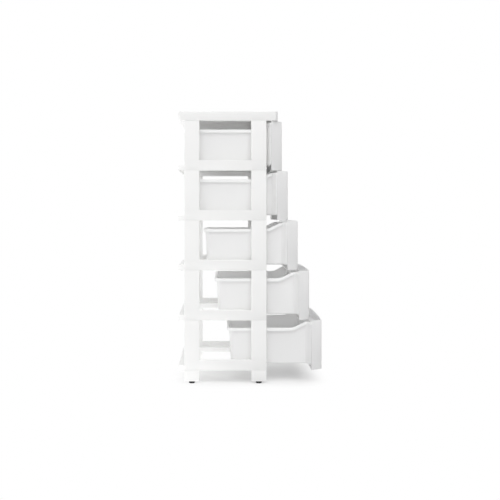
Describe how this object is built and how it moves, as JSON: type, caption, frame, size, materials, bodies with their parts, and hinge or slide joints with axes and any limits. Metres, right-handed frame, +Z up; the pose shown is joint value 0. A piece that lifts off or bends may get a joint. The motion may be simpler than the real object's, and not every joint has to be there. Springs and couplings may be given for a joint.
{
  "type": "plastic drawer tower",
  "caption": "White moulded plastic drawer tower: deep open-topped drawers slide on ledges of stacked open tier frames under a flat top, on short legs with black glides.",
  "frame": {"origin": "on the floor, at the middle of the outer box of the whole tower with its drawers standing open as in the picture", "axes": "+Z up, the drawers open towards -Y, +X to the right when looking at the back from the front"},
  "size_m": [0.39, 0.5084, 0.953],
  "materials": {
    "frame_white": "satin moulded polypropylene",
    "tub_white": "satin moulded polypropylene",
    "front_white": "semi-gloss moulded polypropylene",
    "glide_black": "matt moulded polyethylene"
  },
  "bodies": {
    "frame": {"top_panel": "frame_white", "tier_ring_1": "frame_white", "tier_ring_2": "frame_white", "tier_ring_3": "frame_white", "tier_ring_4": "frame_white", "tier_ring_5": "frame_white", "post_1_front_left": "frame_white", "post_1_front_right": "frame_white", "post_1_rear_left": "frame_white", "post_1_rear_right": "frame_white", "post_2_front_left": "frame_white", "post_2_front_right": "frame_white", "post_2_rear_left": "frame_white", "post_2_rear_right": "frame_white", "post_3_front_left": "frame_white", "post_3_front_right": "frame_white", "post_3_rear_left": "frame_white", "post_3_rear_right": "frame_white", "post_4_front_left": "frame_white", "post_4_front_right": "frame_white", "post_4_rear_left": "frame_white", "post_4_rear_right": "frame_white", "post_5_front_left": "frame_white", "post_5_front_right": "frame_white", "post_5_rear_left": "frame_white", "post_5_rear_right": "frame_white", "leg_front_left": "frame_white", "leg_front_right": "frame_white", "leg_rear_left": "frame_white", "leg_rear_right": "frame_white", "foot_front_left": "glide_black", "foot_front_right": "glide_black", "foot_rear_left": "glide_black", "foot_rear_right": "glide_black"},
    "drawer_1": {"drawer_1_tub": "tub_white", "drawer_1_front": "front_white"},
    "drawer_2": {"drawer_2_tub": "tub_white", "drawer_2_front": "front_white"},
    "drawer_3": {"drawer_3_tub": "tub_white", "drawer_3_front": "front_white"},
    "drawer_4": {"drawer_4_tub": "tub_white", "drawer_4_front": "front_white"},
    "drawer_5": {"drawer_5_tub": "tub_white", "drawer_5_front": "front_white"}
  },
  "joints": [
    {"name": "drawer_1_slide", "type": "slide", "parent": "frame", "child": "drawer_1", "axis": [0, -1, 0], "range_m": [-0.141, 0.059]},
    {"name": "drawer_2_slide", "type": "slide", "parent": "frame", "child": "drawer_2", "axis": [0, -1, 0], "range_m": [-0.097, 0.103]},
    {"name": "drawer_3_slide", "type": "slide", "parent": "frame", "child": "drawer_3", "axis": [0, -1, 0], "range_m": [-0.0565, 0.1435]},
    {"name": "drawer_4_slide", "type": "slide", "parent": "frame", "child": "drawer_4", "axis": [0, -1, 0], "range_m": [-0.021, 0.179]},
    {"name": "drawer_5_slide", "type": "slide", "parent": "frame", "child": "drawer_5", "axis": [0, -1, 0], "range_m": [0, 0.2]}
  ]
}
